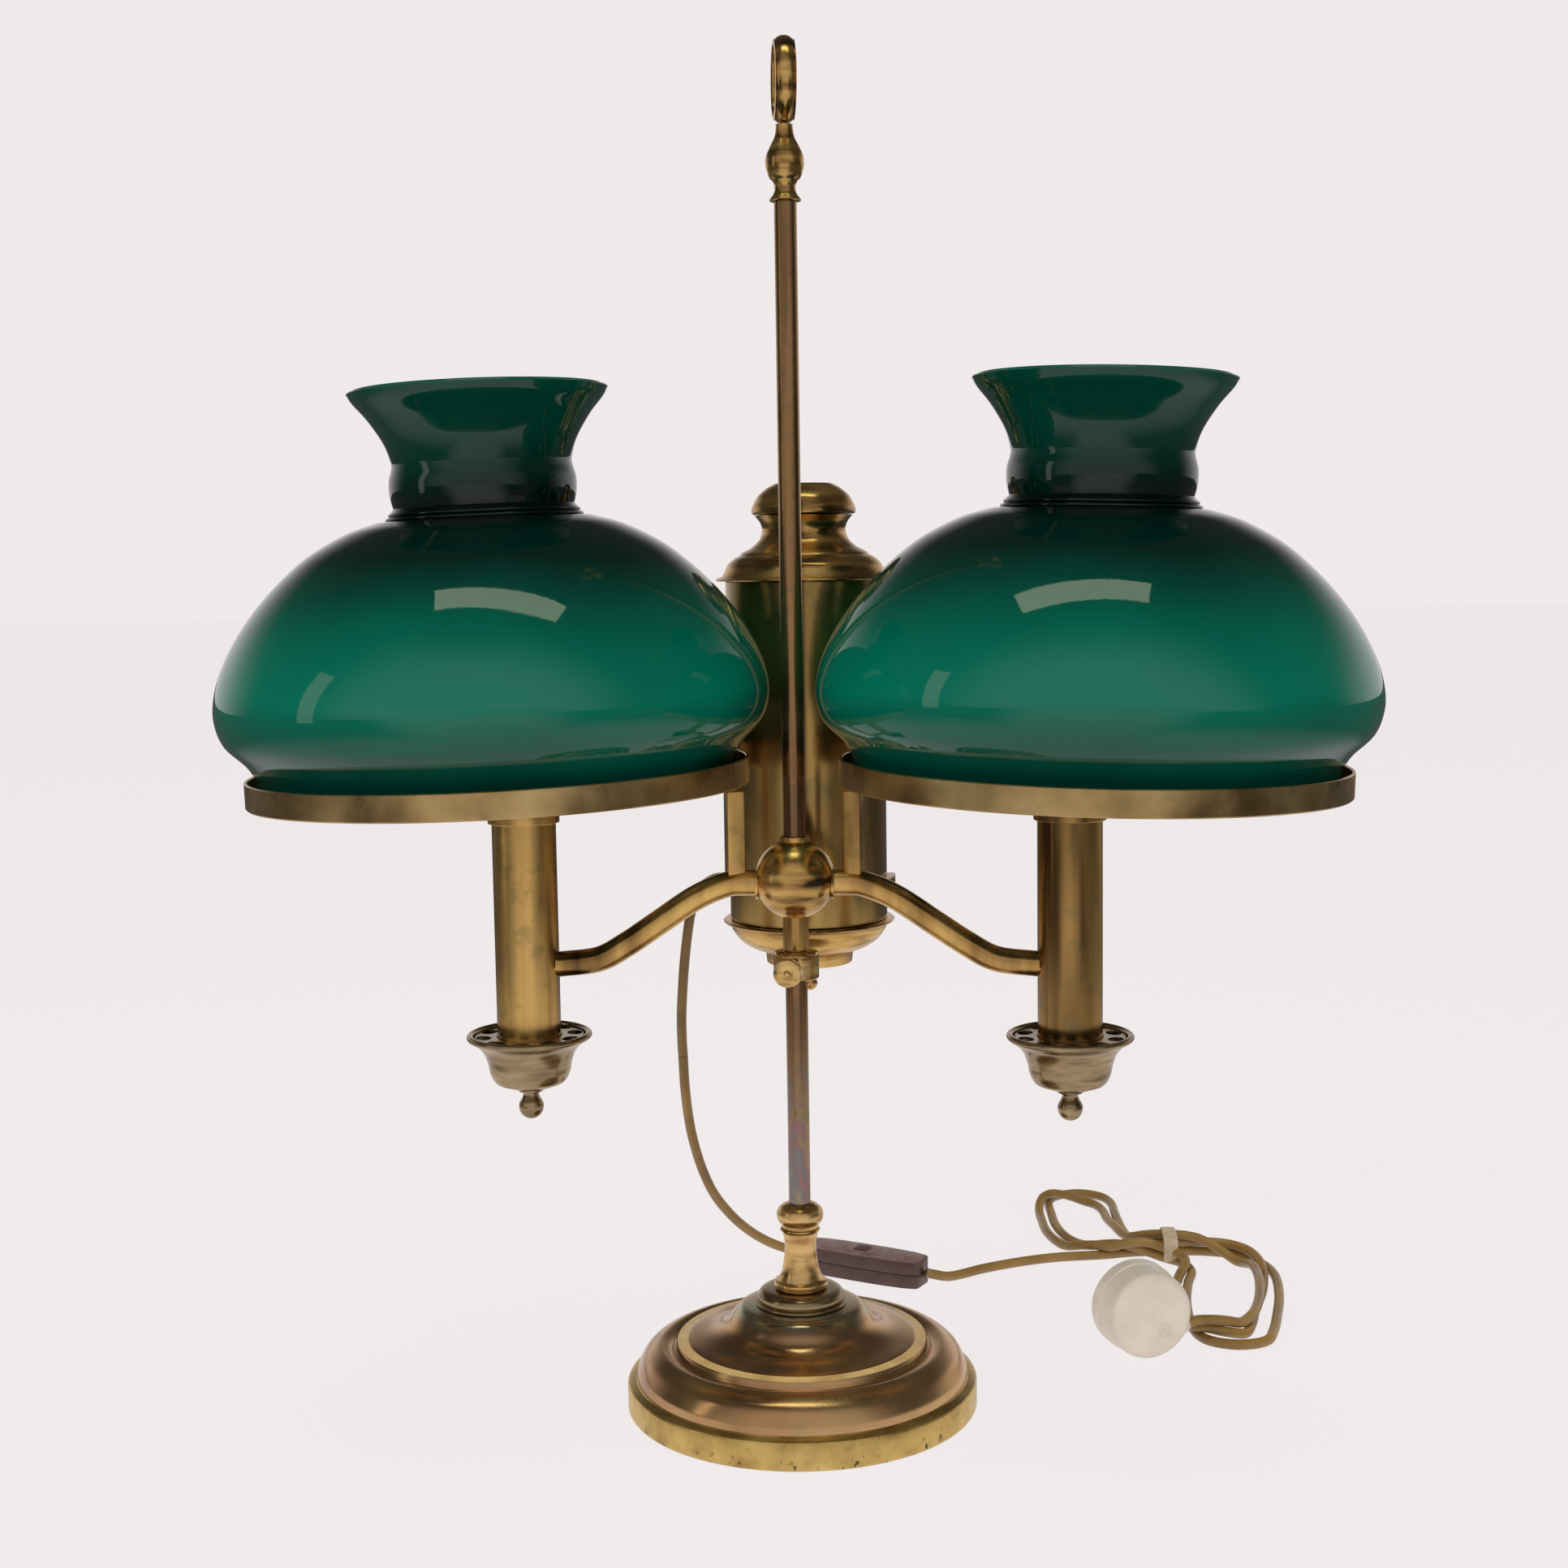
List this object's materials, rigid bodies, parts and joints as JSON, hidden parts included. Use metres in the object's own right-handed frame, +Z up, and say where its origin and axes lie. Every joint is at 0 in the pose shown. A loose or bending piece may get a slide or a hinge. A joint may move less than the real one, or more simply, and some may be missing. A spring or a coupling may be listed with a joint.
{
  "type": "student lamp",
  "caption": "Brass student lamp with level arms on a weighted round base, green glass shades on rings, a tank behind the rod, and a cord with an inline switch and a plug.",
  "frame": {"origin": "centre of the base's flat underside, on the axis of the upright rod, on the surface the lamp stands on", "axes": "+Z up along the rod, X along the arms with +X to the right, +Y to the rear, towards the tank"},
  "size_m": [0.5916, 0.5219, 0.7013],
  "materials": {
    "aged_brass": "polished brass gone warm brown, with coloured oxidation",
    "bright_brass": "polished bright",
    "dark_brass": "dark grey-brown patina, polished",
    "cast_iron": "raw casting",
    "felt": "pressed felt",
    "steel": "dull plated",
    "porcelain": "glazed porcelain",
    "green_glass": "deep green cased glass, glossy",
    "bulb_glass": "frosted white glass",
    "brown_plastic": "moulded, glossy",
    "cord_sheath": "smooth gold-brown sheath",
    "white_plastic": "moulded off-white",
    "tie_band": "beige strap"
  },
  "bodies": {
    "base": {"base_shell": "aged_brass", "base_weight": "cast_iron", "base_felt": "felt", "rod_nut": "steel", "rod_washer": "steel", "stem_seat": "dark_brass", "stem_foot": "bright_brass", "rod": "aged_brass", "finial": "aged_brass", "ring_handle": "aged_brass", "switch_base": "brown_plastic", "switch_cover": "brown_plastic", "cord_drop": "cord_sheath", "cord_lead": "cord_sheath", "cord_bundle": "cord_sheath", "cord_tie": "tie_band", "plug_body": "white_plastic", "plug_pin_earth": "bright_brass", "plug_pin_live": "bright_brass", "plug_pin_neutral": "bright_brass"},
    "rocker": {"switch_rocker": "brown_plastic"},
    "collar": {"clamp_collar": "bright_brass"},
    "screw": {"thumb_screw": "bright_brass"},
    "frame": {"hub_sleeve": "aged_brass", "hub_ball": "aged_brass", "arm_left": "aged_brass", "arm_right": "aged_brass", "post_left": "aged_brass", "post_right": "aged_brass", "burner_tube_left": "aged_brass", "burner_tube_right": "aged_brass", "drip_plate_left": "dark_brass", "drip_plate_right": "dark_brass", "drip_cup_left": "dark_brass", "drip_cup_right": "dark_brass", "cup_finial_left": "dark_brass", "cup_finial_right": "dark_brass", "shade_ring_left": "aged_brass", "shade_ring_right": "aged_brass", "ring_spider_left": "aged_brass", "ring_spider_right": "aged_brass", "lamp_holder_left": "porcelain", "lamp_holder_right": "porcelain", "bulb_left": "bulb_glass", "bulb_right": "bulb_glass", "tank_shell": "aged_brass", "tank_bottom": "aged_brass", "tank_knob": "aged_brass", "tank_saddle": "aged_brass", "cord_gland": "bright_brass", "terminal_block": "porcelain", "cord_top": "cord_sheath"},
    "shade_left": {"shade_left": "green_glass"},
    "shade_right": {"shade_right": "green_glass"},
    "tank_lid": {"tank_cover": "aged_brass", "cover_dome": "aged_brass"}
  },
  "joints": [
    {"name": "frame_height", "type": "slide", "parent": "base", "child": "collar", "axis": [0, 0, 1], "range_m": [-0.11, 0.26], "deforming": ["cord_drop"]},
    {"name": "frame_swivel", "type": "hinge", "parent": "collar", "child": "frame", "pos_m": [0, 0, 0.2415], "axis": [0, 0, 1], "range_deg": [-90, 90], "deforming": ["cord_top"]},
    {"name": "thumb_screw_turn", "type": "hinge", "parent": "collar", "child": "screw", "pos_m": [0, 0, 0.2335], "axis": [-0.132, -0.9912, 0], "range_deg": [0, 270]},
    {"name": "shade_left_lift", "type": "slide", "parent": "frame", "child": "shade_left", "axis": [-0.1959, 0, 0.9806], "range_m": [0, 0.25]},
    {"name": "shade_right_lift", "type": "slide", "parent": "frame", "child": "shade_right", "axis": [0.1959, 0, 0.9806], "range_m": [0, 0.25]},
    {"name": "tank_cover_lift", "type": "slide", "parent": "frame", "child": "tank_lid", "axis": [0, 0, 1], "range_m": [0, 0.08]},
    {"name": "rocker_tilt", "type": "hinge", "parent": "base", "child": "rocker", "pos_m": [0.026, 0.1983, 0.012], "axis": [0.4258, 0.9048, 0], "range_deg": [-16, 0]}
  ]
}
